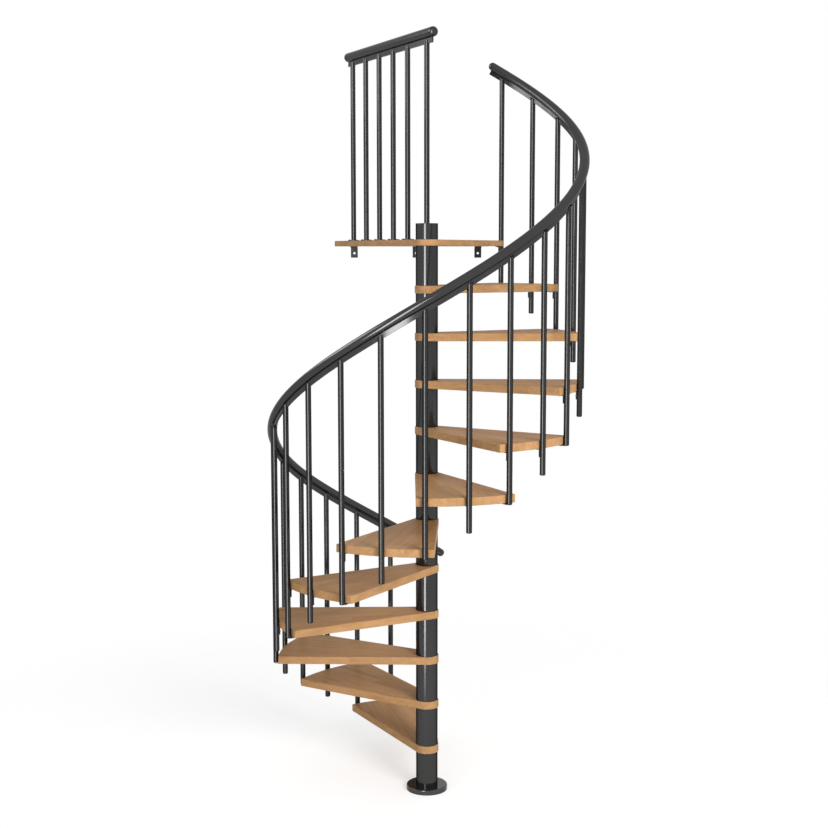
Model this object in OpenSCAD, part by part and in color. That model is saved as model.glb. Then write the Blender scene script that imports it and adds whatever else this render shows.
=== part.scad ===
// Spiral staircase with wooden treads round a steel post, a helical handrail
// and a landing with a straight guard rail. Millimetres, +Z up.
// The origin is the middle of the base plate's underside, on the post's axis.
// Seen from above the stair climbs counter-clockwise. The landing's straight
// back edge faces +Y.

/* [Stair] */
// Height from the top of one tread to the next
rise = 207; // [190:1:225]
// Height from the floor to the top of the first tread
first_rise = 212; // [190:1:230]
// Turn from one tread to the next, in degrees
turn = 29.83; // [27:0.01:30]

/* [Treads] */
// Thickness of a tread
tread_t = 34; // [25:1:45]
// Radius of a tread's outer end
tread_r = 667; // [560:1:760]
// Half the angle that a tread's outer end spans, in degrees
tread_half_angle = 18.15; // [16:0.05:19]
// Diameter of a tread's round end at the post
ring_d = 106; // [100:1:116]

/* [Post] */
// Outside diameter of the sleeves between the treads
sleeve_d = 98; // [84:1:99]
// Wall of a sleeve
sleeve_wall = 4; // [2:0.5:6]
// Outside diameter of the inner tube that carries the treads
core_d = 60; // [48:1:70]
// Wall of the inner tube
core_wall = 4; // [3:0.5:8]
// Height of the post above the landing
post_above = 70; // [40:1:150]
// Thickness of the disc that closes the post
cap_t = 5; // [3:0.5:12]

/* [Base] */
// Diameter of the plate that is bolted to the floor
plate_d = 170; // [150:1:176]
// Thickness of that plate
plate_t = 8; // [6:1:12]
// Pitch circle of the floor bolts
bolt_circle = 134; // [124:1:140]
// Diameter of a floor bolt's hole
bolt_hole_d = 12; // [8:0.5:13]
// Outside diameter of the cover over the plate
cover_d = 185; // [182:1:220]
// Height of the cover
cover_h = 23; // [16:1:40]
// Wall of the cover
cover_wall = 2; // [1:0.5:3]
// Radius of the cover's rounded rim
cover_round = 5; // [3:0.5:6]

/* [Balusters] */
// Diameter of a baluster
baluster_d = 24; // [18:1:28]
// Length of a baluster, from the underside of its tread to its top
baluster_l = 990; // [850:1:1100]
// Radius of the rounded lower end of a baluster
end_round = 5; // [2:0.5:8]
// Gap between a tread's end and the balusters
baluster_gap = 1; // [1:0.5:8]

/* [Brackets] */
// Width of a bracket under a tread
bracket_w = 16; // [12:1:30]
// Height of a bracket's upright tab
bracket_h = 34; // [18:1:40]
// Length of a bracket's leg under the tread
bracket_leg = 32; // [20:1:60]
// Thickness of a bracket
bracket_t = 3; // [2:0.5:5]
// Width of a foot plate under a tread's rear corner
foot_w = 26; // [20:1:34]
// Thickness of a foot plate
foot_t = 5; // [3:0.5:8]
// Reach of a foot plate inwards from the baluster
foot_leg = 50; // [30:1:90]

/* [Handrail] */
// Diameter of the rail tubes
rail_d = 44; // [36:1:48]
// Width of the strip under a rail tube
strip_w = 8; // [6:0.5:12]
// Depth of the strip below the tube
strip_h = 22.5; // [18:0.5:30]
// Depth of the slot in a baluster's top that holds the strip
slot_h = 15; // [8:0.5:17]
// Reach of the handrail past its first baluster, before the round end
rail_low_overrun = 70; // [30:1:90]
// Reach of the handrail past its last baluster, before the round end
rail_high_overrun = 47; // [30:1:90]

/* [Landing] */
// Thickness of the landing
landing_t = 27; // [20:1:40]
// Distance from the post's axis to the landing's back edge
landing_depth = 805; // [790:1:1000]
// Direction of the wedge that starts the landing, in degrees from +X
landing_angle = 73.5; // [70:0.05:80]
// Angle from that direction to the landing's front corner, in degrees
landing_half_angle = 16.5; // [14:0.05:18]
// Angle of the landing's round end outside that wedge's front edge, in degrees
landing_arc = 6.3; // [4:0.1:8]

/* [Wall brackets] */
// Width of a wall bracket
wall_w = 34; // [24:1:60]
// Thickness of a wall bracket
wall_t = 5; // [3:0.5:8]
// Drop of a wall bracket below the landing
wall_drop = 55; // [45:1:90]
// Reach of a wall bracket under the landing
wall_leg = 60; // [30:1:120]
// Diameter of the hole in a wall bracket
wall_hole_d = 11; // [7:0.5:14]
// Depth of that hole's centre below the landing
wall_hole_z = 33; // [20:1:36]
// Distance between wall brackets
wall_pitch = 304; // [200:1:320]
// Distance of the middle wall bracket from the post's axis, to the left
wall_middle = 53; // [0:1:100]

/* [Guard rail] */
// Direction of the guard rail, in degrees to the left of +Y
guard_angle = 26.2; // [15:0.1:30]
// Height of the guard rail's tube above the landing
guard_h = 878; // [800:1:1100]
// Distance from the post to the first guard baluster
guard_first = 193; // [150:1:240]
// Distance between guard balusters
guard_pitch = 153; // [100:1:165]
// Reach of the guard rail past the post's axis, to the middle of its round end
guard_near_overrun = 57; // [30:1:80]
// Reach of the guard rail past its last baluster, to the middle of its round end
guard_far_overrun = 47; // [30:1:60]
// Diameter of a guard baluster's foot plate
guard_foot_d = 56; // [36:1:60]
// Thickness of that foot plate
guard_foot_t = 4; // [2:0.5:6]

/* [Hidden] */
$fn = 96;
steel = "#3c3e41";
oak = "#b98d5f";

tread_count = 11;
guard_count = 5;
bolt_count = 4;
wall_count = 3;
// Clearance between round pieces that fit together
fit = 0.3;
// Reach of a cutting shape past what it cuts
past = 1;

ring_r = ring_d / 2;
step_count = tread_count + 1;
first_angle = landing_angle - tread_count * turn;
function tread_angle(n) = first_angle + (n - 1) * turn;
function tread_bottom(n) = first_rise + (n - 1) * rise - tread_t;

landing_bottom = tread_bottom(step_count);
landing_top = landing_bottom + landing_t;
post_top = landing_top + post_above;
cap_bottom = post_top - cap_t;

// Balusters stand every half tread: even ones carry, odd ones hang at mid tread
baluster_r = tread_r + baluster_gap + baluster_d / 2;
last_baluster = 2 * tread_count;
half_turn = turn / 2;
baluster_start = first_angle - half_turn;
function baluster_angle(j) = baluster_start + j * half_turn;
function baluster_bottom(j) = tread_bottom(0) + j * rise / 2;

// The handrail's helix runs along the middle of its tube. Its section stays
// upright, and its ends are square to its run
rail_r = rail_d / 2;
rail_slope = atan2(rise, baluster_r * turn * PI / 180);
function arc_angle(length) = length / baluster_r * 180 / PI;
rail_start = baluster_start - arc_angle(rail_low_overrun);
rail_end = baluster_angle(last_baluster) + arc_angle(rail_high_overrun);
function baluster_top(a) = tread_bottom(0) + baluster_l + rise * (a - baluster_start) / turn;
function rail_height(a) = baluster_top(a) - slot_h + strip_h + rail_r;
// Width of the slot that holds the strip
slot_w = strip_w + 2 * fit;
// Steps along the helix, sides of the tube, and rings in each round end
rail_steps = 96;
rail_sides = 24;
dome_rings = 5;
dome_limit = 80;

guard_z = landing_top + guard_h;
guard_strip_bottom = guard_z - rail_r - strip_h;
guard_baluster_top = guard_strip_bottom + slot_h;
guard_last = guard_first + (guard_count - 1) * guard_pitch;
guard_l = guard_near_overrun + guard_last + guard_far_overrun;
guard_feet = [for (i = [0 : guard_count - 1]) guard_first + i * guard_pitch];

function two_digits(n) = n < 10 ? str("0", n) : str(n);
function tread_name(n) = str("tread_", two_digits(n));
function sleeve_name(n) = str("sleeve_", two_digits(n));
function polar(r, a) = [r * cos(a), r * sin(a)];

// Post and base

module base_plate() {
    color(steel)
    difference() {
        cylinder(d = plate_d, h = plate_t);
        for (i = [0 : bolt_count - 1])
            rotate((i + 0.5) * 360 / bolt_count)
            translate([bolt_circle / 2, 0, -past])
            cylinder(d = bolt_hole_d, h = plate_t + 2 * past);
    }
}

// A turned cup, open below, with a rounded rim and a hole for the first sleeve
module base_cover() {
    outer = cover_d / 2;
    hole = sleeve_d / 2 + fit;
    round_steps = 6;
    rim = [for (i = [0 : round_steps])
        [outer - cover_round, cover_h - cover_round] + polar(cover_round, i * 90 / round_steps)];
    inner_round = cover_round - cover_wall;
    inner_rim = [for (i = [round_steps : -1 : 0])
        [outer - cover_round, cover_h - cover_round] + polar(inner_round, i * 90 / round_steps)];
    color(steel)
    rotate_extrude()
    polygon(concat(
        [[outer, 0]], rim, [[hole, cover_h], [hole, cover_h - cover_wall]],
        inner_rim, [[outer - cover_wall, 0]]
    ));
}

module tube(outside, wall, bottom, top) {
    translate([0, 0, bottom])
    difference() {
        cylinder(d = outside, h = top - bottom);
        translate([0, 0, -past])
        cylinder(d = outside - 2 * wall, h = top - bottom + 2 * past);
    }
}

module core_tube() {
    color(steel)
    tube(core_d, core_wall, plate_t, cap_bottom);
}

// Sleeve n stands under tread n, the last one on the landing
module sleeve(n) {
    bottom = n == 1 ? plate_t : n > step_count ? landing_top : tread_bottom(n - 1) + tread_t;
    top = n > step_count ? cap_bottom : tread_bottom(n);
    color(steel)
    tube(sleeve_d, sleeve_wall, bottom, top);
}

module post_cap() {
    chamfer = cap_t / 4;
    color(steel)
    translate([0, 0, cap_bottom]) {
        cylinder(d = sleeve_d, h = cap_t - chamfer);
        translate([0, 0, cap_t - chamfer])
        cylinder(d1 = sleeve_d, d2 = sleeve_d - 2 * chamfer, h = chamfer);
    }
}

// Treads and landing

// A straight side runs out of the round end a little inside its widest place
side_tuck = 0.6;
side_r = ring_r - side_tuck;
// Angle between a straight side and the line from the axis to its outer corner
side_lean = asin(side_r / tread_r);
// Direction of a tread's straight side
side_turn = tread_half_angle - side_lean;
// Length of the sides before the outer end is cut round
side_l = tread_r + ring_d;

// Point beside the post's axis where the side that leads in direction a starts
function side_start(a, hand) = polar(side_r, a + hand * 90);

module core_hole(thickness) {
    translate([0, 0, -past])
    cylinder(d = core_d + 2 * fit, h = thickness + 2 * past);
}

module tread(n) {
    left = side_start(side_turn, 1);
    right = side_start(-side_turn, -1);
    color(oak)
    translate([0, 0, tread_bottom(n)])
    rotate(tread_angle(n))
    difference() {
        union() {
            cylinder(d = ring_d, h = tread_t);
            intersection() {
                cylinder(r = tread_r, h = tread_t);
                linear_extrude(tread_t)
                polygon([
                    right, right + polar(side_l, -side_turn),
                    left + polar(side_l, side_turn), left
                ]);
            }
        }
        core_hole(tread_t);
    }
}

// The landing starts as a tread does, then runs straight back to the wall
module landing() {
    guard_way = 90 + guard_angle;
    arc_start = landing_angle - landing_half_angle;
    front = arc_start + side_lean;
    arc_steps = 8;
    arc = [for (i = [0 : arc_steps]) polar(tread_r, arc_start + i * landing_arc / arc_steps)];
    back_right = [arc[arc_steps].x, landing_depth];
    left = side_start(guard_way, 1);
    back_left = left + polar((landing_depth - left.y) / sin(guard_way), guard_way);
    color(oak)
    translate([0, 0, landing_bottom])
    difference() {
        union() {
            cylinder(d = ring_d, h = landing_t);
            linear_extrude(landing_t)
            polygon(concat([side_start(front, -1)], arc, [back_right, back_left, left]));
        }
        core_hole(landing_t);
    }
}

module landing_wall_brackets() {
    color(steel)
    for (i = [0 : wall_count - 1])
        translate([(i - (wall_count - 1) / 2) * wall_pitch - wall_middle, landing_depth, landing_bottom])
        difference() {
            union() {
                translate([-wall_w / 2, -wall_t, -wall_drop])
                cube([wall_w, wall_t, wall_drop]);
                translate([-wall_w / 2, -wall_leg, -wall_t])
                cube([wall_w, wall_leg, wall_t]);
            }
            translate([0, past, -wall_hole_z])
            rotate([90, 0, 0])
            cylinder(d = wall_hole_d, h = wall_t + 2 * past);
        }
}

// Balusters

// Cuts a bar's top to a slope along y, with a slot for the strip in it
module slotted(length, slope) {
    reach = 2 * baluster_d;
    difference() {
        children();
        translate([0, 0, length])
        rotate([slope, 0, 0])
        translate([-reach / 2, -reach, 0])
        cube([reach, 2 * reach, reach]);
        translate([0, 0, length - slot_h - fit])
        rotate([slope, 0, 0])
        translate([-slot_w / 2, -reach, 0])
        cube([slot_w, 2 * reach, reach]);
    }
}

// The bar's foot is flat, with a rounded or a sharp edge
module bar(length, round_foot) {
    radius = baluster_d / 2;
    top = length + baluster_d;
    steps = 6;
    foot = round_foot
        ? [for (i = [0 : steps]) [radius - end_round, end_round] + polar(end_round, i * 90 / steps - 90)]
        : [[radius, 0]];
    rotate_extrude()
    polygon(concat([[0, 0]], foot, [[radius, top], [0, top]]));
}

module baluster(j, bottom, round_foot) {
    length = baluster_top(baluster_angle(j)) - bottom;
    rotate(baluster_angle(j))
    translate([baluster_r, 0, bottom])
    slotted(length, rail_slope)
    bar(length, round_foot);
}

module carrying_balusters() {
    color(steel)
    for (j = [2 : 2 : last_baluster])
        baluster(j, baluster_bottom(j) - foot_t, true);
}

module hanging_balusters() {
    color(steel)
    for (j = [1 : 2 : last_baluster])
        baluster(j, baluster_bottom(j) - foot_t, true);
}

module start_baluster() {
    color(steel)
    baluster(0, guard_foot_t, false);
}

// An angle that hangs under a tread and holds a baluster's inner side
module bracket(j, under) {
    face = baluster_r - baluster_d / 2 - fit;
    rotate(baluster_angle(j))
    translate([face, -bracket_w / 2, under]) {
        translate([-bracket_t, 0, -bracket_h])
        cube([bracket_t, bracket_w, bracket_h]);
        translate([-bracket_leg, 0, -bracket_t])
        cube([bracket_leg, bracket_w, bracket_t]);
    }
}

module carrying_brackets() {
    color(steel)
    for (n = [1 : step_count])
        bracket(2 * (n - 1), tread_bottom(n));
}

module hanging_brackets() {
    color(steel)
    for (n = [1 : tread_count])
        bracket(2 * n - 1, tread_bottom(n));
}

// A flat plate under a tread's rear corner, hollowed to meet the baluster's side
module foot_plate(n) {
    rotate(baluster_angle(2 * n))
    translate([baluster_r, 0, tread_bottom(n) - foot_t])
    difference() {
        translate([-foot_leg, -foot_w / 2, 0])
        cube([foot_leg, foot_w, foot_t]);
        translate([0, 0, -past])
        cylinder(d = baluster_d + 2 * fit, h = foot_t + 2 * past);
    }
}

// The first baluster stands on a disc on the floor
module baluster_feet() {
    color(steel) {
        rotate(baluster_start)
        translate([baluster_r, 0, 0])
        cylinder(d = guard_foot_d, h = guard_foot_t);
        for (n = [1 : tread_count])
            foot_plate(n);
    }
}

// Handrail

// A point of the handrail's section: u outwards, v upwards, w along the rail
// past the section at angle a
function rail_point(a, u, v, w) =
    let (
        outwards = [cos(a), sin(a), 0],
        along = [-sin(a) * cos(rail_slope), cos(a) * cos(rail_slope), sin(rail_slope)]
    )
    (baluster_r + u) * outwards + [0, 0, rail_height(a) + v] + w * along;

// A closed surface through rings that have the same number of points
module lofted(rings) {
    sides = len(rings[0]);
    last = len(rings) - 1;
    points = [for (ring = rings) each ring];
    walls = [for (i = [0 : last - 1], k = [0 : sides - 1])
        let (next = (k + 1) % sides, low = i * sides, high = low + sides)
        each [[low + k, high + k, low + next], [low + next, high + k, high + next]]];
    start = [for (k = [0 : sides - 1]) k];
    end = [for (k = [sides - 1 : -1 : 0]) last * sides + k];
    polyhedron(points = points, faces = concat([start], walls, [end]));
}

// The upright sections stop short of the square ends
square_margin = arc_angle(rail_r);
upright_sweep = rail_end - rail_start - 2 * square_margin;
function rail_angle(i) = rail_start + square_margin + i * upright_sweep / rail_steps;

function upright_section(a, outline) = [for (p = outline) rail_point(a, p.x, p.y, 0)];
function square_section(a, outline, w) =
    [for (p = outline) rail_point(a, p.x, p.y, w - p.y * sin(rail_slope))];

module swept_rail(outline, low_end, high_end) {
    color(steel)
    lofted(concat(
        low_end,
        [for (i = [0 : rail_steps]) upright_section(rail_angle(i), outline)],
        high_end
    ));
}

function circle_outline(radius) = [for (k = [0 : rail_sides - 1]) polar(radius, k * 360 / rail_sides)];

module handrail_tube() {
    domes = [for (i = [0 : dome_rings]) polar(rail_r, i * dome_limit / dome_rings)];
    swept_rail(
        circle_outline(rail_r),
        [for (i = [dome_rings : -1 : 0]) square_section(rail_start, circle_outline(domes[i].x), -domes[i].y)],
        [for (dome = domes) square_section(rail_end, circle_outline(dome.x), dome.y)]
    );
}

// The strip's top is hollowed to seat the tube
strip_hollow = rail_r + fit;
strip_side = asin(strip_w / 2 / strip_hollow);

module handrail_strip() {
    steps = 4;
    seat = [for (i = [0 : steps]) polar(strip_hollow, 270 + strip_side - i * 2 * strip_side / steps)];
    foot = -rail_r - strip_h;
    outline = concat([[-strip_w / 2, foot], [strip_w / 2, foot]], seat);
    swept_rail(outline, [square_section(rail_start, outline, 0)], [square_section(rail_end, outline, 0)]);
}

// Guard rail, laid along its own way from the post's axis

module along_guard(distance, height) {
    rotate(90 + guard_angle)
    translate([distance, 0, height])
    children();
}

module guard_tube() {
    end = [for (i = [0 : dome_rings]) polar(rail_r, i * 90 / dome_rings)];
    foot = [for (p = end) [p.x, -p.y]];
    head = [for (i = [dome_rings : -1 : 0]) [end[i].x, guard_l + end[i].y]];
    color(steel)
    along_guard(-guard_near_overrun, guard_z)
    rotate([0, 90, 0])
    rotate_extrude()
    polygon(concat([for (i = [dome_rings : -1 : 0]) foot[i]], [for (i = [dome_rings : -1 : 0]) head[i]]));
}

module guard_strip() {
    color(steel)
    along_guard(-guard_near_overrun, guard_z)
    difference() {
        translate([0, -strip_w / 2, -rail_r - strip_h])
        cube([guard_l, strip_w, strip_h + rail_r]);
        translate([-past, 0, 0])
        rotate([0, 90, 0])
        cylinder(r = strip_hollow, h = guard_l + 2 * past);
    }
}

module guard_baluster(distance, bottom) {
    length = guard_baluster_top - bottom;
    along_guard(distance, bottom)
    rotate(90)
    slotted(length, 0)
    bar(length, false);
}

module guard_balusters() {
    color(steel)
    for (distance = guard_feet)
        guard_baluster(distance, landing_top + guard_foot_t);
}

module guard_post_baluster() {
    color(steel)
    guard_baluster(0, post_top);
}

module guard_feet_plates() {
    color(steel)
    for (distance = guard_feet)
        along_guard(distance, landing_top)
        cylinder(d = guard_foot_d, h = guard_foot_t);
}

base_plate();
base_cover();
core_tube();
post_cap();
for (n = [1 : step_count + 1])
    sleeve(n);
for (n = [1 : tread_count])
    tread(n);
landing();
landing_wall_brackets();
carrying_balusters();
hanging_balusters();
start_baluster();
carrying_brackets();
hanging_brackets();
baluster_feet();
handrail_tube();
handrail_strip();
guard_tube();
guard_strip();
guard_balusters();
guard_post_baluster();
guard_feet_plates();
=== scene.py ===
"""Dresses the spiral staircase: turned steel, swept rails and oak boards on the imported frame."""

import math

import bmesh
import bpy
from bpy.props import FloatProperty, FloatVectorProperty, PointerProperty
from mathutils import Matrix, Vector


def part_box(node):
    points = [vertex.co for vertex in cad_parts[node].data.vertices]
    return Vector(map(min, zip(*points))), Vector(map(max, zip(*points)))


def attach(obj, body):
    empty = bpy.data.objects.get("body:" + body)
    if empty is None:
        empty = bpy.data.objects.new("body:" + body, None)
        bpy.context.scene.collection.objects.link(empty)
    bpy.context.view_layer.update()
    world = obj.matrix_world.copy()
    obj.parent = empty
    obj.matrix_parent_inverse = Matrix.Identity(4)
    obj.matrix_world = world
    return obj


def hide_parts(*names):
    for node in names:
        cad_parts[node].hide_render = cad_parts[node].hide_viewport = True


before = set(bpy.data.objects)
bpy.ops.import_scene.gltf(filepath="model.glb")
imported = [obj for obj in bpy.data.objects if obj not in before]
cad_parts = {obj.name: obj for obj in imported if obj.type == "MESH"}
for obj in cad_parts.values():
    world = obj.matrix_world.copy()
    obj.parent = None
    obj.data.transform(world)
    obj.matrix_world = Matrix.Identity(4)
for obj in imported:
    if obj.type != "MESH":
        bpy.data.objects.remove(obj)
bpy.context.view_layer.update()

bl_info = {
    "name": "Spiral staircase",
    "version": (1, 0, 0),
    "blender": (4, 5, 0),
    "location": "View3D > Sidebar > Stair",
    "description": "Models the pieces of a spiral staircase and sets its studio",
    "category": "Object",
}

BODY = "root"

TREAD_NODES = sorted(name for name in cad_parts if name.startswith("tread_"))
SLEEVE_NODES = sorted(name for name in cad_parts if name.startswith("sleeve_"))
BRACKET_NODES = ("carrying_brackets", "hanging_brackets", "baluster_feet", "landing_wall_brackets",
                 "guard_feet_plates")

# Faces round a turned piece, a baluster, a rail and a screw
TURNED_SIDES = 128
BAR_SIDES = 40
RAIL_SIDES = 48
SCREW_SIDES = 20
# Faces in a quarter round edge and in a domed end, and steps of a swept rail
ROUND_STEPS = 4
DOME_STEPS = 10
RAIL_STEPS = 264
# Edges turn this sharply where two faces of a piece meet, and less within a flat face
SHARP = math.radians(30.0)
FLAT = math.radians(0.5)
# Points closer than this are one, and a dome's last ring shrinks to this share before it is closed
WELD = 0.00002
TIP = 0.0001

# Sizes below are in metres, as the frame builds them
# The climb, up to the landing, from the underside of a tread that would lie one rise below the first
RISE = 0.207
TURN = math.radians(29.83)
TREAD_COUNT = len(TREAD_NODES)
LANDING_ANGLE = math.radians(73.5)
FIRST_UNDERSIDE = -0.029

# The post's sleeves and the cover at its foot
SLEEVE_WALL = 0.004
COVER_WALL = 0.002
COVER_RIM = 0.005
COVER_CLEARANCE = 0.0003

# Balusters, which stand every half tread, with the slots that hold the strip
LAST_BALUSTER = 2 * TREAD_COUNT
BALUSTER_LENGTH = 0.990
FIRST_ANGLE = LANDING_ANGLE - (TREAD_COUNT + 0.5) * TURN
FIRST_TOP = FIRST_UNDERSIDE + BALUSTER_LENGTH
AXIS_RADIUS = 0.680
BAR_RADIUS = 0.012
FREE_END_ROUND = 0.005
FLAT_END_EDGE = 0.0005
FOOT_THICKNESS = 0.005
DISC_THICKNESS = 0.004
SLOT_DEPTH = 0.015
SLOT_WIDTH = 0.0086

# The rails' strip and tube. The visible tube stays just inside the frame's faceted one
STRIP_WIDTH = 0.008
STRIP_DEPTH = 0.0225
RAIL_RADIUS = 0.022
TUBE_RADIUS = 0.0217
GROOVE_DEPTH = 0.0012
GROOVE_WIDTH = 0.003

# The handrail runs on past its first and last baluster, and each end is named by its hand and direction
LOW_OVERRUN = 0.070
HIGH_OVERRUN = 0.047
RAIL_START = FIRST_ANGLE - LOW_OVERRUN / AXIS_RADIUS
RAIL_STOP = FIRST_ANGLE + TREAD_COUNT * TURN + HIGH_OVERRUN / AXIS_RADIUS
RAIL_ENDS = ((-1, RAIL_START), (1, RAIL_STOP))
# Its upright sections stop this short of its square ends
SQUARE_MARGIN = RAIL_RADIUS / AXIS_RADIUS

# The guard rail, which runs back from the post over its row of balusters
GUARD_ANGLE = math.radians(116.2)
GUARD_NEAR = 0.057
GUARD_FIRST = 0.193
GUARD_PITCH = 0.153
GUARD_COUNT = 5
GUARD_FAR = 0.047
GUARD_SPAN = GUARD_NEAR + GUARD_FIRST + (GUARD_COUNT - 1) * GUARD_PITCH + GUARD_FAR

# Screws in brackets and foot plates, by their distance from the post's axis and drop below a tread
BRACKET_THICKNESS = 0.003
TREAD_SCREW_RADIUS = 0.647
LEG_SCREW_RADIUS = 0.6647
LEG_SCREW_DROP = 0.020
PLATE_SCREW_RADII = (0.637, 0.656)
# Screws in a disc, by their distance from its middle and their number
DISC_SCREW_RADIUS = 0.0195
DISC_SCREWS = 3
# Radius and height along a button head, from its seat to the floor of its socket
SCREW_PROFILE = ((0.0, 0.0), (0.0042, 0.0), (0.0042, 0.0006), (0.0038, 0.0013), (0.0030, 0.0019),
                 (0.0018, 0.0022), (0.0016, 0.0009), (0.0, 0.0009))


class StairFinish(bpy.types.PropertyGroup):
    """Colours and small sizes of the stair's finish."""

    steel_colour: FloatVectorProperty(
        name="Steel colour", description="Powder coat on the post and brackets",
        subtype="COLOR", default=(0.052, 0.052, 0.052), min=0.0, max=1.0)
    # The base cover gets a lighter copy of the post's coat, which is painted light
    base_lit_colour: FloatVectorProperty(
        name="Base colour", description="Powder coat on the base cover",
        subtype="COLOR", default=(0.066, 0.066, 0.066), min=0.0, max=1.0)
    # The balusters get a darker copy of the post's coat, which is painted shade
    bar_shaded_colour: FloatVectorProperty(
        name="Baluster colour", description="Powder coat on the balusters",
        subtype="COLOR", default=(0.041, 0.041, 0.041), min=0.0, max=1.0)
    rail_colour: FloatVectorProperty(
        name="Rail colour", description="Sheath on the handrail and the guard rail",
        subtype="COLOR", default=(0.052, 0.052, 0.052), min=0.0, max=1.0)
    oak_pale: FloatVectorProperty(
        name="Pale oak", description="Early wood of the treads",
        subtype="COLOR", default=(0.62, 0.36, 0.17), min=0.0, max=1.0)
    oak_deep: FloatVectorProperty(
        name="Deep oak", description="Late wood and pores of the treads",
        subtype="COLOR", default=(0.36, 0.185, 0.075), min=0.0, max=1.0)
    steel_gloss: FloatProperty(
        name="Steel roughness", description="Roughness of the powder coat", default=0.13, min=0.0, max=1.0)
    rail_gloss: FloatProperty(
        name="Rail roughness", description="Roughness of the rail sheath", default=0.16, min=0.0, max=1.0)
    stave_width: FloatProperty(
        name="Stave width", description="Width of the glued staves in a board",
        default=0.044, min=0.01, unit="LENGTH")
    stave_length: FloatProperty(
        name="Stave length", description="Length of the glued staves in a board",
        default=0.42, min=0.05, unit="LENGTH")
    oak_round: FloatProperty(
        name="Oak edge", description="Radius of the eased edges of the boards",
        default=0.0025, min=0.0, unit="LENGTH")
    steel_round: FloatProperty(
        name="Steel edge", description="Radius of the eased edges of plates and brackets",
        default=0.0006, min=0.0, unit="LENGTH")
    turned_round: FloatProperty(
        name="Turned edge", description="Radius of the eased ends of sleeves and caps",
        default=0.001, min=0.0, unit="LENGTH")


class StairStudio(bpy.types.PropertyGroup):
    """Camera and light of the studio."""

    eye_distance: FloatProperty(
        name="Eye distance", description="Distance from the post's axis to the camera",
        default=6.224, unit="LENGTH")
    eye_height: FloatProperty(
        name="Eye height", description="Height of the camera above the floor",
        default=2.4272, unit="LENGTH")
    look_down: FloatProperty(
        name="Look down", description="Tilt of the camera below the horizon",
        default=math.radians(6.518), unit="ROTATION")
    focal_pixels: FloatProperty(
        name="Focal length in pixels", description="Focal length in pixels of the square picture",
        default=1416.7)
    post_pixel: FloatProperty(
        name="Post column", description="Column of the square picture that the post stands on",
        default=426.83)
    key_power: FloatProperty(
        name="Key light", description="Power of the soft light to the right of the camera",
        default=335.0, unit="POWER")
    fill_power: FloatProperty(
        name="Fill light", description="Power of the low soft light to the left of the camera",
        default=60.0, unit="POWER")
    strip_power: FloatProperty(
        name="Strip light", description="Power of the tall narrow light to the left of the camera",
        default=390.0, unit="POWER")
    side_power: FloatProperty(
        name="Side light", description="Power of the wide light, high up on the left",
        default=175.0, unit="POWER")
    ambient: FloatProperty(
        name="Ambient", description="Strength of the studio's even light", default=0.5)


# Meshes

def merged_copy(node):
    """A mesh copy of a CAD node with its loose triangles joined and its flat faces whole."""
    bm = bmesh.new()
    bm.from_mesh(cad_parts[node].data)
    bmesh.ops.remove_doubles(bm, verts=bm.verts, dist=WELD)
    bmesh.ops.dissolve_limit(bm, angle_limit=FLAT, verts=bm.verts, edges=bm.edges)
    return bm


def islands(node):
    """The lowest and highest corners of each solid of a CAD node, from low to high."""
    bm = merged_copy(node)
    waiting = set(bm.verts)
    boxes = []
    while waiting:
        # The group grows while it is read, until it holds all that its first point is joined to
        group = [waiting.pop()]
        for vert in group:
            for edge in vert.link_edges:
                other = edge.other_vert(vert)
                if other in waiting:
                    waiting.remove(other)
                    group.append(other)
        low = Vector([min(vert.co[axis] for vert in group) for axis in range(3)])
        high = Vector([max(vert.co[axis] for vert in group) for axis in range(3)])
        boxes.append((low, high))
    bm.free()
    return sorted(boxes, key=lambda box: box[0].z)


def ease_edges(bm, radius, segments):
    """Rounds every sharp edge of a mesh."""
    sharp = [edge for edge in bm.edges if edge.is_manifold and edge.calc_face_angle() > SHARP]
    bmesh.ops.bevel(bm, geom=sharp, offset=radius, offset_type="OFFSET", segments=segments, profile=0.5,
                    affect="EDGES", clamp_overlap=True, material=-1)


def profile_point(radius, height):
    """A point of a turned profile, in the XZ plane."""
    return Vector((radius, 0.0, height))


def quarter_round(centre, radius, start, steps=ROUND_STEPS):
    """Points of a quarter circle in the XZ plane, from an angle in degrees upwards."""
    points = []
    for step in range(steps + 1):
        angle = math.radians(start + 90.0 * step / steps)
        reach = centre[0] + radius * math.cos(angle)
        points.append(profile_point(reach, centre[1] + radius * math.sin(angle)))
    return points


def turned(profile, sides=TURNED_SIDES, centre=(0.0, 0.0)):
    """A closed mesh, turned from a profile that starts and ends on the axis, or from one that is a ring."""
    bm = bmesh.new()
    verts = [bm.verts.new(point) for point in profile]
    edges = [bm.edges.new(pair) for pair in zip(verts, verts[1:])]
    on_axis = profile[0].x == 0.0
    if not on_axis:
        edges.append(bm.edges.new((verts[-1], verts[0])))
    bmesh.ops.spin(bm, geom=verts + edges, cent=(0, 0, 0), axis=(0, 0, 1), angle=math.tau, steps=sides,
                   use_merge=True)
    bmesh.ops.remove_doubles(bm, verts=bm.verts, dist=WELD)
    bmesh.ops.translate(bm, verts=bm.verts, vec=(centre[0], centre[1], 0.0))
    bmesh.ops.recalc_face_normals(bm, faces=bm.faces)
    return bm


def cut(bm, place, normal):
    """Removes what lies beyond a plane and closes the cut."""
    parts = bm.verts[:] + bm.edges[:] + bm.faces[:]
    found = bmesh.ops.bisect_plane(bm, geom=parts, plane_co=place, plane_no=normal, clear_outer=True)
    rim = [part for part in found["geom_cut"] if isinstance(part, bmesh.types.BMEdge)]
    bmesh.ops.holes_fill(bm, edges=rim)


def add_mesh(bm, other):
    """Puts another mesh into the first one."""
    mesh = bpy.data.meshes.new("joining")
    other.to_mesh(mesh)
    other.free()
    bm.from_mesh(mesh)
    bpy.data.meshes.remove(mesh)


def baluster_angle(number):
    """Direction of a baluster from the post."""
    return FIRST_ANGLE + number * TURN / 2


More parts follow.
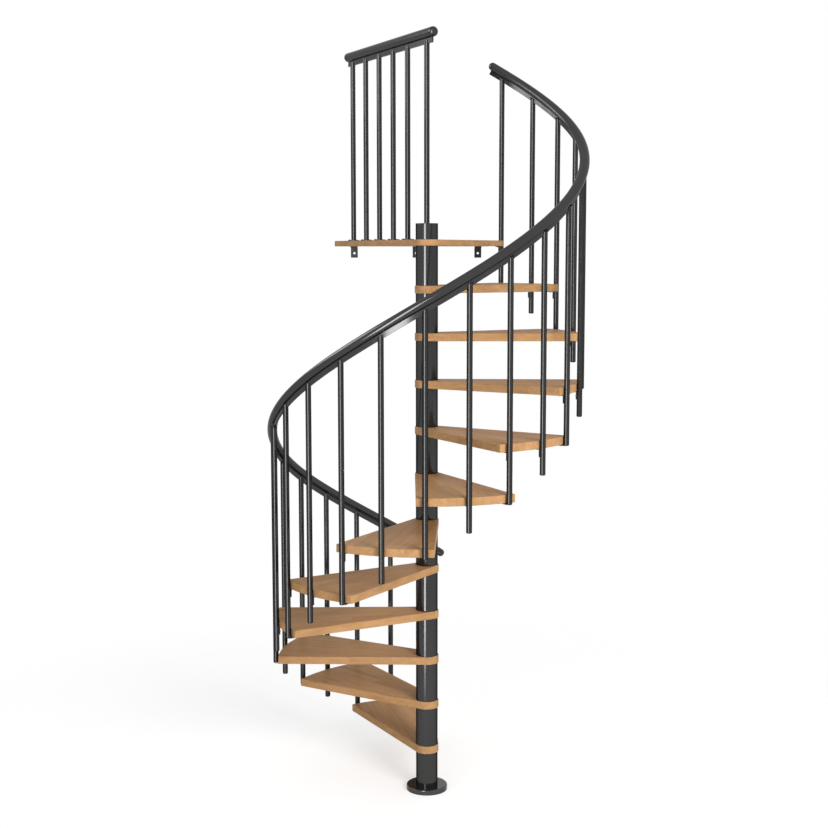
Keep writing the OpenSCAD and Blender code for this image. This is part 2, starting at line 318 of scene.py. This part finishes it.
def outward(angle):
    """The level direction at an angle."""
    return Vector((math.cos(angle), math.sin(angle), 0.0))


def uphill(angle):
    """The handrail's direction at an angle, for one metre of level run."""
    out = outward(angle)
    return Vector((-out.y, out.x, RISE / TURN / AXIS_RADIUS))


def upright(height):
    """A step straight up."""
    return Vector((0.0, 0.0, height))


def between(low, high, height):
    """The point above the middle of a box, at a height."""
    return Vector(((low.x + high.x) / 2, (low.y + high.y) / 2, height))


def area_centre(mesh):
    """The middle of a mesh, weighted by the areas of its faces."""
    total = sum(face.area for face in mesh.polygons)
    return sum((face.area * face.center for face in mesh.polygons), Vector()) / total


def outer_radius(node):
    """Radius of a round CAD node."""
    low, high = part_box(node)
    return (high[0] - low[0]) / 2


def in_scene(name, data):
    """A new object of the scene."""
    obj = bpy.data.objects.new(name, data)
    bpy.context.scene.collection.objects.link(obj)
    return obj


def piece(bm, name, material, nodes):
    """Makes the finished object of a mesh and ties it to the frame."""
    mesh = bpy.data.meshes.new(name)
    bm.to_mesh(mesh)
    bm.free()
    mesh.polygons.foreach_set("use_smooth", [True] * len(mesh.polygons))
    mesh.set_sharp_from_angle(angle=SHARP)
    mesh.materials.append(material)
    obj = in_scene(name, mesh)
    weighted = obj.modifiers.new("Even shading", "WEIGHTED_NORMAL")
    weighted.keep_sharp = True
    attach(obj, BODY)
    if nodes:
        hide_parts(*nodes)
    return obj


# Materials

WHITE = (1.0, 1.0, 1.0, 1.0)

# Satin coat: how metallic it is, and the scale and spread of its tone, gloss and orange peel
COAT_METAL = 0.85
TONE_SCALE = 7.0
TONE_SPREAD = 0.18
GLOSS_SCALE = 40.0
GLOSS_SPREAD = 0.15
PEEL_SCALE = 420.0
PEEL_STRENGTH = 0.001
PEEL_HEIGHT = 0.0002
# Brightness that a coat keeps where it turns away from the eye
PLAIN_EDGE = 0.3
# The balusters' low value darkens their rims further, which is painted shade
BAR_SHADED_EDGE = 0.12
RAIL_EDGE = 0.65
# The cover's high value keeps its edges bright, which is painted light
COVER_LIT_EDGE = 0.9

# Oak grain: how fine it is along and across a stave, and how far apart staves lie in the log
GRAIN_BANDS = (2.2, 55.0, 55.0)
GRAIN_STREAKS = (9.0, 420.0, 420.0)
GRAIN_PORES = (45.0, 1500.0, 1500.0)
BAND_SHARE = 0.62
STREAK_SHARE = 0.38
LOG_SPREAD = 9.0
# Each range is the result's low and high end, and then the value's where that isn't zero to one
DEEP_RANGE = (0.15, 0.70, 0.36, 0.66)
PORE_RANGE = (0.0, 0.5, 0.60, 0.74)
STAVE_TONE = (0.92, 1.08)
OAK_ROUGHNESS = (0.40, 0.56)
PORE_SHADE = 0.6
OAK_SHINE = 0.05
STREAK_RELIEF = 0.4
GRAIN_STRENGTH = 0.25
GRAIN_HEIGHT = 0.0004


def blank_material(name):
    """A new node material with its tree and its shader."""
    material = bpy.data.materials.get(name)
    if material:
        bpy.data.materials.remove(material)
    material = bpy.data.materials.new(name)
    material.use_nodes = True
    tree = material.node_tree
    return material, tree, tree.nodes["Principled BSDF"]


def add_node(tree, kind, **settings):
    """A new node with its settings."""
    node = tree.nodes.new(kind)
    for name, value in settings.items():
        setattr(node, name, value)
    return node


def link(tree, source, target):
    """Links an output socket to an input socket."""
    tree.links.new(source, target)


def maths(tree, operation, first, second=None):
    """A Math node on sockets or numbers, and its result."""
    node = add_node(tree, "ShaderNodeMath", operation=operation)
    for index, value in enumerate((first, second)):
        if value is None:
            continue
        if isinstance(value, (int, float)):
            node.inputs[index].default_value = value
        else:
            link(tree, value, node.inputs[index])
    return node.outputs[0]


def noise(tree, coordinates, scale, detail=2.0, roughness=0.5):
    """The value of a Noise texture."""
    node = add_node(tree, "ShaderNodeTexNoise")
    node.inputs["Scale"].default_value = scale
    node.inputs["Detail"].default_value = detail
    node.inputs["Roughness"].default_value = roughness
    link(tree, coordinates, node.inputs["Vector"])
    return node.outputs["Fac"]


def ranged(tree, value, low, high, from_low=0.0, from_high=1.0):
    """Maps a value from one range to another."""
    node = add_node(tree, "ShaderNodeMapRange")
    node.inputs["From Min"].default_value = from_low
    node.inputs["From Max"].default_value = from_high
    node.inputs["To Min"].default_value = low
    node.inputs["To Max"].default_value = high
    link(tree, value, node.inputs["Value"])
    return node.outputs["Result"]


def mixed(tree, amount, first, second):
    """Mixes two colours by a value."""
    node = add_node(tree, "ShaderNodeMix", data_type="RGBA")
    link(tree, amount, node.inputs["Factor"])
    for name, colour in (("A", first), ("B", second)):
        socket = next(s for s in node.inputs if s.name == name and s.type == "RGBA")
        if isinstance(colour, bpy.types.NodeSocket):
            link(tree, colour, socket)
        else:
            socket.default_value = (*colour, 1.0)
    return next(s for s in node.outputs if s.type == "RGBA")


def mixed_shader(tree, amount, first, second, output):
    """Mixes two shaders by a value and links the result to an output's surface."""
    node = add_node(tree, "ShaderNodeMixShader")
    link(tree, amount, node.inputs["Fac"])
    link(tree, first.outputs[0], node.inputs[1])
    link(tree, second.outputs[0], node.inputs[2])
    link(tree, node.outputs[0], output.inputs["Surface"])


def bumped(tree, shader, height, strength, distance):
    """Raises a surface by a height value."""
    node = add_node(tree, "ShaderNodeBump")
    node.inputs["Strength"].default_value = strength
    node.inputs["Distance"].default_value = distance
    link(tree, height, node.inputs["Height"])
    link(tree, node.outputs["Normal"], shader.inputs["Normal"])


def coated_steel(name, colour, roughness, edge=PLAIN_EDGE):
    """Satin metallic coat with a fine orange peel, which darkens where it turns away from the eye."""
    material, tree, shader = blank_material(name)
    place = add_node(tree, "ShaderNodeTexCoord").outputs["Object"]
    tone = noise(tree, place, TONE_SCALE, detail=3.0)
    lighter = tuple((1 + TONE_SPREAD) * channel for channel in colour)
    link(tree, mixed(tree, tone, colour, lighter), shader.inputs["Base Color"])
    gloss = noise(tree, place, GLOSS_SCALE, detail=4.0)
    uneven = ranged(tree, gloss, roughness * (1 - GLOSS_SPREAD), roughness * (1 + GLOSS_SPREAD))
    link(tree, uneven, shader.inputs["Roughness"])
    shader.inputs["Metallic"].default_value = COAT_METAL
    shader.inputs["Specular IOR Level"].default_value = 0.0
    shader.inputs["Specular Tint"].default_value = (edge, edge, edge, 1.0)
    peel = noise(tree, place, PEEL_SCALE, detail=1.0)
    bumped(tree, shader, peel, PEEL_STRENGTH, PEEL_HEIGHT)
    return material


def oak_board(name, angle, finish):
    """Oiled oak of glued staves whose grain runs along the board, turned by an angle about the post."""
    material, tree, shader = blank_material(name)
    place = add_node(tree, "ShaderNodeTexCoord")
    mapping = add_node(tree, "ShaderNodeMapping", vector_type="POINT")
    mapping.inputs["Rotation"].default_value = (0.0, 0.0, -angle)
    link(tree, place.outputs["Object"], mapping.inputs["Vector"])
    parted = add_node(tree, "ShaderNodeSeparateXYZ")
    link(tree, mapping.outputs["Vector"], parted.inputs[0])
    along, across = parted.outputs["X"], parted.outputs["Y"]

    # Staves lie in rows, and each row starts at its own shift
    row = maths(tree, "FLOOR", maths(tree, "DIVIDE", across, finish.stave_width))
    shift = add_node(tree, "ShaderNodeTexWhiteNoise", noise_dimensions="1D")
    link(tree, row, shift.inputs["W"])
    run = maths(tree, "ADD", maths(tree, "DIVIDE", along, finish.stave_length), shift.outputs["Value"])
    column = maths(tree, "FLOOR", run)
    stave = add_node(tree, "ShaderNodeCombineXYZ")
    link(tree, row, stave.inputs["X"])
    link(tree, column, stave.inputs["Y"])
    stave.inputs["Z"].default_value = angle
    chance = add_node(tree, "ShaderNodeTexWhiteNoise", noise_dimensions="3D")
    link(tree, stave.outputs["Vector"], chance.inputs["Vector"])

    # Each stave is cut from its own place in the log
    own = add_node(tree, "ShaderNodeVectorMath", operation="SCALE")
    own.inputs["Scale"].default_value = LOG_SPREAD
    link(tree, chance.outputs["Color"], own.inputs[0])
    moved = add_node(tree, "ShaderNodeVectorMath", operation="ADD")
    link(tree, mapping.outputs["Vector"], moved.inputs[0])
    link(tree, own.outputs["Vector"], moved.inputs[1])

    def stretched(scale):
        """The stave's coordinates, drawn out along the grain."""
        node = add_node(tree, "ShaderNodeVectorMath", operation="MULTIPLY")
        link(tree, moved.outputs["Vector"], node.inputs[0])
        node.inputs[1].default_value = scale
        return node.outputs["Vector"]

    bands = noise(tree, stretched(GRAIN_BANDS), 1.0, detail=4.0, roughness=0.6)
    streaks = noise(tree, stretched(GRAIN_STREAKS), 1.0, detail=3.0, roughness=0.6)
    pores = noise(tree, stretched(GRAIN_PORES), 1.0, detail=2.0, roughness=0.5)
    wide = maths(tree, "MULTIPLY", bands, BAND_SHARE)
    fine = maths(tree, "MULTIPLY", streaks, STREAK_SHARE)
    grain = maths(tree, "ADD", wide, fine)
    board = mixed(tree, ranged(tree, grain, *DEEP_RANGE), finish.oak_pale, finish.oak_deep)
    toned = add_node(tree, "ShaderNodeVectorMath", operation="SCALE")
    link(tree, board, toned.inputs[0])
    link(tree, ranged(tree, chance.outputs["Value"], *STAVE_TONE), toned.inputs["Scale"])
    pore_dark = ranged(tree, pores, *PORE_RANGE)
    pore_colour = tuple(PORE_SHADE * channel for channel in finish.oak_deep)
    link(tree, mixed(tree, pore_dark, toned.outputs["Vector"], pore_colour), shader.inputs["Base Color"])
    link(tree, ranged(tree, grain, *OAK_ROUGHNESS), shader.inputs["Roughness"])
    shader.inputs["Specular IOR Level"].default_value = OAK_SHINE
    height = maths(tree, "SUBTRACT", maths(tree, "MULTIPLY", streaks, STREAK_RELIEF), pore_dark)
    bumped(tree, shader, height, GRAIN_STRENGTH, GRAIN_HEIGHT)
    return material


# Pieces

class STAIR_OT_treads(bpy.types.Operator):
    """Oak treads and landing with eased edges"""

    bl_idname = "stair.treads"
    bl_label = "Treads and landing"

    def execute(self, context):
        finish = context.scene.stair_finish
        for node in TREAD_NODES + ["landing"]:
            middle = area_centre(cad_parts[node].data)
            angle = math.atan2(middle.y, middle.x)
            bm = merged_copy(node)
            ease_edges(bm, finish.oak_round, segments=3)
            material = oak_board(f"oak_{node}", angle, finish)
            piece(bm, f"oak_{node}", material, [node])
        return {"FINISHED"}


class STAIR_OT_post(bpy.types.Operator):
    """Sleeves, cap and base of the post, turned with eased edges"""

    bl_idname = "stair.post"
    bl_label = "Post and base"

    def execute(self, context):
        finish = context.scene.stair_finish
        steel = coated_steel("post_powder_coat", finish.steel_colour, finish.steel_gloss)
        for node in SLEEVE_NODES:
            self.sleeve(node, finish.turned_round, steel)
        self.cap(finish.turned_round * 2, steel)
        # The cover's coat is a lighter copy of the post's coat with brighter edges, which is painted light
        self.base(coated_steel("base_powder_coat", finish.base_lit_colour, finish.steel_gloss, COVER_LIT_EDGE))
        for node in ("core_tube", "base_plate"):
            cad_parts[node].data.materials.clear()
            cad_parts[node].data.materials.append(steel)
        return {"FINISHED"}

    def sleeve(self, node, edge, steel):
        """A tube with rounded outer ends."""
        low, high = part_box(node)
        outside = outer_radius(node)
        inside = outside - SLEEVE_WALL
        profile = [profile_point(inside, low[2])]
        profile += quarter_round((outside - edge, low[2] + edge), edge, -90)
        profile += quarter_round((outside - edge, high[2] - edge), edge, 0)
        profile.append(profile_point(inside, high[2]))
        piece(turned(profile), f"post_{node}", steel, [node])

    def cap(self, edge, steel):
        """A flat disc with a rounded rim."""
        low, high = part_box("post_cap")
        outside = outer_radius("post_cap")
        profile = [profile_point(0, low[2]), profile_point(outside, low[2])]
        profile += quarter_round((outside - edge, high[2] - edge), edge, 0)
        profile.append(profile_point(0, high[2]))
        piece(turned(profile), "post_top_cap", steel, ["post_cap"])

    def base(self, steel):
        """A turned cover with a rounded rim, open below and round the post."""
        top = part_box("base_cover")[1][2]
        under = top - COVER_WALL
        outside = outer_radius("base_cover")
        inside = outside - COVER_WALL
        hole = outer_radius(SLEEVE_NODES[0]) + COVER_CLEARANCE
        rim = outside - COVER_RIM
        profile = [profile_point(inside, 0), profile_point(outside, 0)]
        profile += quarter_round((rim, top - COVER_RIM), COVER_RIM, 0)
        profile += [profile_point(hole, top), profile_point(hole, under)]
        profile += [profile_point(rim, under), profile_point(inside, top - COVER_RIM)]
        piece(turned(profile), "post_base_cover", steel, ["base_cover"])


class STAIR_OT_balusters(bpy.types.Operator):
    """Round balusters with slotted heads and round free ends"""

    bl_idname = "stair.balusters"
    bl_label = "Balusters"

    def execute(self, context):
        finish = context.scene.stair_finish
        # This copy of the coat has a darker colour and darker rims, which are painted shade
        steel = coated_steel("baluster_powder_coat", finish.bar_shaded_colour, finish.steel_gloss, BAR_SHADED_EDGE)
        rows = {
            "start_baluster": range(0, 1),
            "carrying_balusters": range(2, LAST_BALUSTER + 1, 2),
            "hanging_balusters": range(1, LAST_BALUSTER, 2),
        }
        for node, numbers in rows.items():
            bm = bmesh.new()
            for number in numbers:
                angle = baluster_angle(number)
                place = AXIS_RADIUS * outward(angle)
                top = FIRST_TOP + number * RISE / 2
                low = FIRST_UNDERSIDE - FOOT_THICKNESS + number * RISE / 2 if number else DISC_THICKNESS
                self.bar(bm, place, low, top, uphill(angle), FREE_END_ROUND if number else FLAT_END_EDGE)
            piece(bm, f"{node}_bars", steel, [node])
        for node in ("guard_balusters", "guard_post_baluster"):
            bm = bmesh.new()
            for low, high in islands(node):
                self.bar(bm, between(low, high, 0.0), low.z, high.z, outward(GUARD_ANGLE), FLAT_END_EDGE)
            piece(bm, f"{node}_bars", steel, [node])
        return {"FINISHED"}

    def bar(self, bm, place, low, top, along, edge):
        """Adds one bar with a rounded lower edge and a slot in its head that runs along the rail."""
        foot = [profile_point(0, low)]
        foot += quarter_round((BAR_RADIUS - edge, low + edge), edge, -90, DOME_STEPS)
        reach = top + 2 * BAR_RADIUS
        head = [profile_point(BAR_RADIUS, reach), profile_point(0, reach)]
        across = Vector((along.y, -along.x, 0.0)).normalized()
        square = across.cross(along)
        floor = Vector((place.x, place.y, top - SLOT_DEPTH))
        shank = turned(foot + head, BAR_SIDES, place.xy)
        cut(shank, floor, square)
        add_mesh(bm, shank)
        below = top - 4 * BAR_RADIUS
        stub = [profile_point(0, below), profile_point(BAR_RADIUS, below)]
        for hand in (-1, 1):
            prong = turned(stub + head, BAR_SIDES, place.xy)
            cut(prong, floor, -square)
            cut(prong, Vector((place.x, place.y, top)), square)
            cut(prong, place + hand * across * SLOT_WIDTH / 2, -hand * across)
            add_mesh(bm, prong)


class STAIR_OT_brackets(bpy.types.Operator):
    """Angles, foot plates and wall brackets with eased edges"""

    bl_idname = "stair.brackets"
    bl_label = "Brackets"

    def execute(self, context):
        finish = context.scene.stair_finish
        steel = coated_steel("bracket_powder_coat", finish.steel_colour, finish.steel_gloss)
        for node in BRACKET_NODES:
            bm = merged_copy(node)
            ease_edges(bm, finish.steel_round, segments=2)
            piece(bm, f"{node}_eased", steel, [node])
        return {"FINISHED"}


class STAIR_OT_screws(bpy.types.Operator):
    """Button head screws in the brackets, foot plates and discs"""

    bl_idname = "stair.screws"
    bl_label = "Screws"

    def execute(self, context):
        finish = context.scene.stair_finish
        steel = coated_steel("screw_coat", finish.steel_colour, finish.steel_gloss)
        bm = bmesh.new()
        self.bracket_screws(bm)
        self.disc_screws(bm)
        piece(bm, "screw_heads", steel, [])
        return {"FINISHED"}

    def bracket_screws(self, bm):
        """Two screws in every bracket, and two in each foot plate under a carrying baluster."""
        down = upright(-1.0)
        for number in range(LAST_BALUSTER + 1):
            out = outward(baluster_angle(number))
            tread_under = FIRST_UNDERSIDE + (number // 2 + 1) * RISE
            self.screw(bm, out * TREAD_SCREW_RADIUS + upright(tread_under - BRACKET_THICKNESS), down)
            self.screw(bm, out * LEG_SCREW_RADIUS + upright(tread_under - LEG_SCREW_DROP), -out)
            if number % 2 == 0 and number > 0:
                plate_under = FIRST_UNDERSIDE + number // 2 * RISE - FOOT_THICKNESS
                for radius in PLATE_SCREW_RADII:
                    self.screw(bm, out * radius + upright(plate_under), down)

    def disc_screws(self, bm):
        """Screws round the first baluster's disc on the floor and the guard's discs on the landing."""
        discs = [AXIS_RADIUS * outward(FIRST_ANGLE) + upright(DISC_THICKNESS)]
        discs += [between(low, high, high.z) for low, high in islands("guard_feet_plates")]
        for disc in discs:
            for turn in range(DISC_SCREWS):
                angle = GUARD_ANGLE + (turn + 0.5) * math.tau / DISC_SCREWS
                self.screw(bm, disc + DISC_SCREW_RADIUS * outward(angle), upright(1.0))

    def screw(self, bm, place, way):
        """Adds a button head with a round socket that points along a way."""
        head = turned([profile_point(*pair) for pair in SCREW_PROFILE], SCREW_SIDES)
        turn = upright(1.0).rotation_difference(way).to_matrix().to_4x4()
        bmesh.ops.transform(head, matrix=Matrix.Translation(place) @ turn, verts=head.verts)
        add_mesh(bm, head)


class STAIR_OT_rails(bpy.types.Operator):
    """Handrail and guard rail: round tubes with domed ends on flat bars"""

    bl_idname = "stair.rails"
    bl_label = "Rails"

    def execute(self, context):
        finish = context.scene.stair_finish
        sheath = coated_steel("rail_sheath", finish.rail_colour, finish.rail_gloss, RAIL_EDGE)
        steel = coated_steel("strip_powder_coat", finish.steel_colour, finish.rail_gloss, RAIL_EDGE)
        piece(self.handrail_tube(), "handrail_tube_swept", sheath, ["handrail_tube"])
        strip = self.handrail_strip(finish.steel_round)
        piece(strip, "handrail_strip_swept", steel, ["handrail_strip"])
        piece(self.guard_tube(), "guard_tube_turned", sheath, ["guard_tube"])
        flat = merged_copy("guard_strip")
        ease_edges(flat, finish.steel_round / 2, segments=1)
        piece(flat, "guard_strip_eased", steel, ["guard_strip"])
        return {"FINISHED"}

    def handrail_tube(self):
        """The tube that climbs round the post, with a cap at each end."""
        circle = [TUBE_RADIUS * outward(side * math.tau / RAIL_SIDES).xy for side in range(RAIL_SIDES)]
        bm = self.helix(circle)
        for hand, angle in RAIL_ENDS:
            ring = self.square_end(bm, hand, angle)
            self.dome(bm, ring, hand, angle)
        bmesh.ops.recalc_face_normals(bm, faces=bm.faces)
        return bm

    def handrail_strip(self, edge):
        """The flat bar under the tube, with its lower edges cut off."""
        half = STRIP_WIDTH / 2
        low = -RAIL_RADIUS - STRIP_DEPTH
        high = edge - RAIL_RADIUS
        corners = [Vector(pair) for pair in (
            (edge - half, low), (half - edge, low), (half, low + edge), (half, high), (-half, high),
            (-half, low + edge))]
        bm = self.helix(corners)
        for hand, angle in RAIL_ENDS:
            bmesh.ops.holes_fill(bm, edges=self.square_end(bm, hand, angle))
        bmesh.ops.recalc_face_normals(bm, faces=bm.faces)
        return bm

    def centre(self, angle):
        """The middle of the handrail's tube at an angle."""
        height = FIRST_TOP - SLOT_DEPTH + STRIP_DEPTH + RAIL_RADIUS + RISE * (angle - FIRST_ANGLE) / TURN
        return AXIS_RADIUS * outward(angle) + upright(height)

    def helix(self, outline):
        """An upright outline swept round the post, open at both ends and short of the square ends."""
        start = RAIL_START + SQUARE_MARGIN
        sweep = RAIL_STOP - SQUARE_MARGIN - start
        out = outward(start)
        middle = self.centre(start)
        bm = bmesh.new()
        verts = [bm.verts.new(middle + point.x * out + upright(point.y)) for point in outline]
        edges = [bm.edges.new((verts[index - 1], verts[index])) for index in range(len(verts))]
        lift = upright(RISE * sweep / TURN / RAIL_STEPS)
        bmesh.ops.spin(bm, geom=verts + edges, cent=(0, 0, 0), axis=(0, 0, 1), dvec=lift, angle=sweep,
                       steps=RAIL_STEPS)
        bmesh.ops.recalc_face_normals(bm, faces=bm.faces)
        return bm

    def extruded(self, bm, ring, change):
        """Extrudes a ring of edges, moves the new ring by a matrix and gives it back."""
        made = bmesh.ops.extrude_edge_only(bm, edges=ring)["geom"]
        verts = [part for part in made if isinstance(part, bmesh.types.BMVert)]
        bmesh.ops.transform(bm, matrix=change, verts=verts)
        return [part for part in made if isinstance(part, bmesh.types.BMEdge) and part.is_boundary]

    def square_end(self, bm, hand, angle):
        """Runs one open end on to a ring square to the rail's run, and gives back its edges."""
        open_end = self.centre(angle - hand * SQUARE_MARGIN)
        near = [side for side in bm.edges if side.is_boundary]
        ring = [side for side in near if (side.verts[0].co - open_end).length < 4 * RAIL_RADIUS]
        centre = self.centre(angle)
        along = uphill(angle).normalized()
        # A point above the middle lies ahead of the square plane, and goes back along the run
        shear = Matrix.Identity(4)
        for axis in range(3):
            shear[axis][2] -= along[axis] * along.z
        turn = Matrix.Rotation(hand * SQUARE_MARGIN, 4, "Z")
        move = Matrix.Translation(upright(centre.z - open_end.z)) @ turn
        change = Matrix.Translation(centre) @ shear @ Matrix.Translation(-centre) @ move
        return self.extruded(bm, ring, change)

    def dome(self, bm, ring, hand, angle):
        """Closes one end of the tube with a groove and a round cap."""
        centre = self.centre(angle)
        along = hand * uphill(angle).normalized()
        groove = 1.0 - GROOVE_DEPTH / RAIL_RADIUS
        rings = [(0.0, groove), (GROOVE_WIDTH, groove), (GROOVE_WIDTH, 1.0)]
        cap = TUBE_RADIUS - GROOVE_WIDTH
        for step in range(1, DOME_STEPS + 1):
            turn = math.radians(90.0 * step / DOME_STEPS)
            rings.append((GROOVE_WIDTH + cap * math.sin(turn), max(math.cos(turn), TIP)))
        reach, size = 0.0, 1.0
        for next_reach, next_size in rings:
            middle = Matrix.Translation(centre + reach * along)
            change = Matrix.Translation((next_reach - reach) * along) @ middle
            ring = self.extruded(bm, ring, change @ Matrix.Scale(next_size / size, 4) @ middle.inverted())
            reach, size = next_reach, next_size
        tip = {vert for side in ring for vert in side.verts}
        bmesh.ops.remove_doubles(bm, verts=list(tip), dist=WELD)

    def guard_tube(self):
        """The straight tube, turned along its length with a groove and a round cap at each end."""
        low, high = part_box("guard_tube")
        inner = TUBE_RADIUS - GROOVE_DEPTH
        cap = TUBE_RADIUS - GROOVE_WIDTH
        foot = [profile_point(0.0, -GROOVE_WIDTH - cap)]
        for step in range(1, DOME_STEPS + 1):
            turn = math.radians(90.0 * (1 - step / DOME_STEPS))
            foot.append(profile_point(TUBE_RADIUS * math.cos(turn), -GROOVE_WIDTH - cap * math.sin(turn)))
        foot += [profile_point(inner, -GROOVE_WIDTH), profile_point(inner, 0)]
        foot.append(profile_point(TUBE_RADIUS, 0))
        head = [profile_point(point.x, GUARD_SPAN - point.z) for point in reversed(foot)]
        bm = turned(foot + head, RAIL_SIDES)
        turn = Matrix.Rotation(GUARD_ANGLE, 4, "Z") @ Matrix.Rotation(math.radians(90.0), 4, "Y")
        start = upright((low[2] + high[2]) / 2) - GUARD_NEAR * outward(GUARD_ANGLE)
        bmesh.ops.transform(bm, matrix=Matrix.Translation(start) @ turn, verts=bm.verts)
        return bm


# Studio

IMAGE_SIZE = 828
SENSOR = 36.0
CLIP_END = 200.0
FLOOR_HALF = 4.0
FLOOR_GREY = 0.6
FLOOR_ROUGHNESS = 0.9
FLOOR_GLOW = 0.56
# Distances from the post where the floor starts to fade and where it is gone
FLOOR_FADE = (1.3, 3.2)
# Role, place, aim and size of each lamp, and whether it shows only as a reflection in the steel
LAMPS = (
    ("key", (3.1, -5.4, 3.5), (0.0, 0.0, 1.4), (2.6, 2.6), False),
    ("fill", (-3.4, -4.9, 0.9), (0.0, 0.0, 1.0), (2.0, 1.6), False),
    ("strip", (-1.9, -5.3, 1.75), (0.0, 0.0, 1.75), (1.5, 6.4), True),
    ("side", (-4.1, 0.9, 4.5), (0.0, 0.9, 3.0), (4.2, 2.2), True),
)


def seen(tree):
    """One for a ray from the camera, straight, mirrored or through something clear, and else zero."""
    path = add_node(tree, "ShaderNodeLightPath")
    mirrored = maths(tree, "MAXIMUM", path.outputs["Is Camera Ray"], path.outputs["Is Glossy Ray"])
    return maths(tree, "MAXIMUM", mirrored, path.outputs["Is Transmission Ray"])


class STAIR_OT_studio(bpy.types.Operator):
    """Floor, soft light and the camera at the picture's viewing angle"""

    bl_idname = "stair.studio"
    bl_label = "Studio"

    def execute(self, context):
        studio = context.scene.stair_studio
        self.floor()
        self.world(studio)
        self.lights(studio)
        self.camera(studio)
        context.scene.view_settings.view_transform = "Standard"
        return {"FINISHED"}

    def floor(self):
        """A pale floor that keeps the stair's shadow and fades into the white behind it."""
        bm = bmesh.new()
        bmesh.ops.create_grid(bm, x_segments=1, y_segments=1, size=FLOOR_HALF)
        mesh = bpy.data.meshes.new("studio_floor")
        bm.to_mesh(mesh)
        bm.free()
        material, tree, shader = blank_material("studio_floor")
        shader.inputs["Base Color"].default_value = (FLOOR_GREY, FLOOR_GREY, FLOOR_GREY, 1.0)
        shader.inputs["Roughness"].default_value = FLOOR_ROUGHNESS
        shader.inputs["Emission Color"].default_value = WHITE
        link(tree, maths(tree, "MULTIPLY", seen(tree), FLOOR_GLOW), shader.inputs["Emission Strength"])
        place = add_node(tree, "ShaderNodeTexCoord").outputs["Object"]
        distance = add_node(tree, "ShaderNodeVectorMath", operation="LENGTH")
        link(tree, place, distance.inputs[0])
        fade = ranged(tree, distance.outputs["Value"], 0.0, 1.0, *FLOOR_FADE)
        clear = add_node(tree, "ShaderNodeBsdfTransparent")
        mixed_shader(tree, fade, shader, clear, tree.nodes["Material Output"])
        mesh.materials.append(material)
        in_scene("studio_floor", mesh)

    def world(self, studio):
        """White behind the stair and in reflections, and even light elsewhere."""
        world = bpy.data.worlds.new("studio")
        bpy.context.scene.world = world
        world.use_nodes = True
        tree = world.node_tree
        even = tree.nodes["Background"]
        even.inputs["Color"].default_value = WHITE
        even.inputs["Strength"].default_value = studio.ambient
        white = add_node(tree, "ShaderNodeBackground")
        white.inputs["Color"].default_value = WHITE
        mixed_shader(tree, seen(tree), even, white, tree.nodes["World Output"])

    def lights(self, studio):
        """A soft key and a low fill, and two lights that show only as reflections in the steel."""
        for role, place, aim, size, mirrored in LAMPS:
            light = bpy.data.lights.new(f"{role}_light", "AREA")
            light.shape = "RECTANGLE"
            light.size, light.size_y = size
            light.energy = getattr(studio, f"{role}_power")
            obj = in_scene(f"{role}_light", light)
            obj.visible_glossy = mirrored
            obj.visible_diffuse = not mirrored
            obj.visible_camera = False
            obj.location = place
            obj.rotation_euler = (Vector(aim) - Vector(place)).to_track_quat("-Z", "Y").to_euler()

    def camera(self, studio):
        """The picture's camera, with the post a little right of its middle."""
        data = bpy.data.cameras.new("picture_camera")
        data.sensor_width = SENSOR
        data.lens = studio.focal_pixels / IMAGE_SIZE * SENSOR
        data.shift_x = (IMAGE_SIZE / 2 - studio.post_pixel) / IMAGE_SIZE
        data.clip_end = CLIP_END
        obj = in_scene("picture_camera", data)
        obj.location = (0.0, -studio.eye_distance, studio.eye_height)
        obj.rotation_euler = (math.radians(90.0) - studio.look_down, 0.0, 0.0)
        bpy.context.scene.camera = obj


class STAIR_PT_panel(bpy.types.Panel):
    """Lists the stair's pieces and settings."""

    bl_idname = "STAIR_PT_panel"
    bl_label = "Spiral staircase"
    bl_space_type = "VIEW_3D"
    bl_region_type = "UI"
    bl_category = "Stair"

    def draw(self, context):
        for operator in OPERATORS:
            self.layout.operator(operator.bl_idname)
        for settings in (context.scene.stair_finish, context.scene.stair_studio):
            for name in settings.__annotations__:
                self.layout.prop(settings, name)


OPERATORS = (STAIR_OT_post, STAIR_OT_treads, STAIR_OT_balusters, STAIR_OT_brackets, STAIR_OT_screws,
             STAIR_OT_rails, STAIR_OT_studio)
CLASSES = (StairFinish, StairStudio, *OPERATORS, STAIR_PT_panel)


def register():
    """Registers the classes and the settings."""
    for cls in CLASSES:
        bpy.utils.register_class(cls)
    bpy.types.Scene.stair_finish = PointerProperty(type=StairFinish)
    bpy.types.Scene.stair_studio = PointerProperty(type=StairStudio)


def unregister():
    """Removes the settings and the classes."""
    del bpy.types.Scene.stair_studio
    del bpy.types.Scene.stair_finish
    for cls in reversed(CLASSES):
        bpy.utils.unregister_class(cls)


def main():
    """Makes every piece and the studio."""
    register()
    bpy.ops.stair.post()
    bpy.ops.stair.treads()
    bpy.ops.stair.balusters()
    bpy.ops.stair.brackets()
    bpy.ops.stair.screws()
    bpy.ops.stair.rails()
    bpy.ops.stair.studio()


if __name__ == "__main__":
    main()
